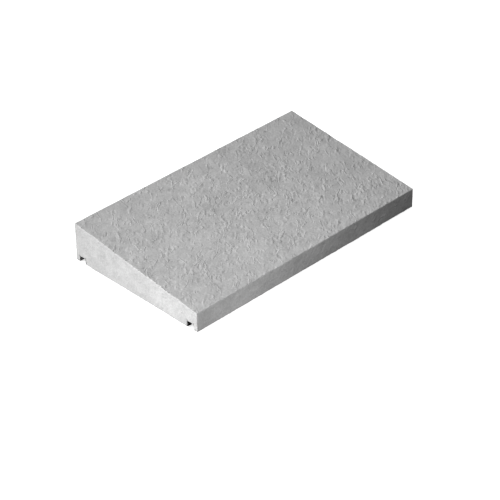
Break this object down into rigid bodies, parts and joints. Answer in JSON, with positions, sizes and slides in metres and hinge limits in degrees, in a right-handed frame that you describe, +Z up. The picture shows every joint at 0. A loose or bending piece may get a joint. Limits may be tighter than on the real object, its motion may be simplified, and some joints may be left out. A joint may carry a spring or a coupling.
{
  "type": "wall coping stone",
  "caption": "Once-weathered concrete coping stone: a wedge-section slab with a sloping top and a drip groove under each overhanging edge, bedded on a wall head to shed rain.",
  "frame": {"origin": "centre of the bed, the flat underside that lies on the wall, midway along and across the stone", "axes": "+X along the wall, +Y across it from the low front edge to the high back edge, +Z up"},
  "size_m": [0.6, 0.34, 0.0858],
  "materials": {
    "concrete": "matte"
  },
  "bodies": {
    "root": {"coping_stone": "concrete"}
  },
  "joints": []
}
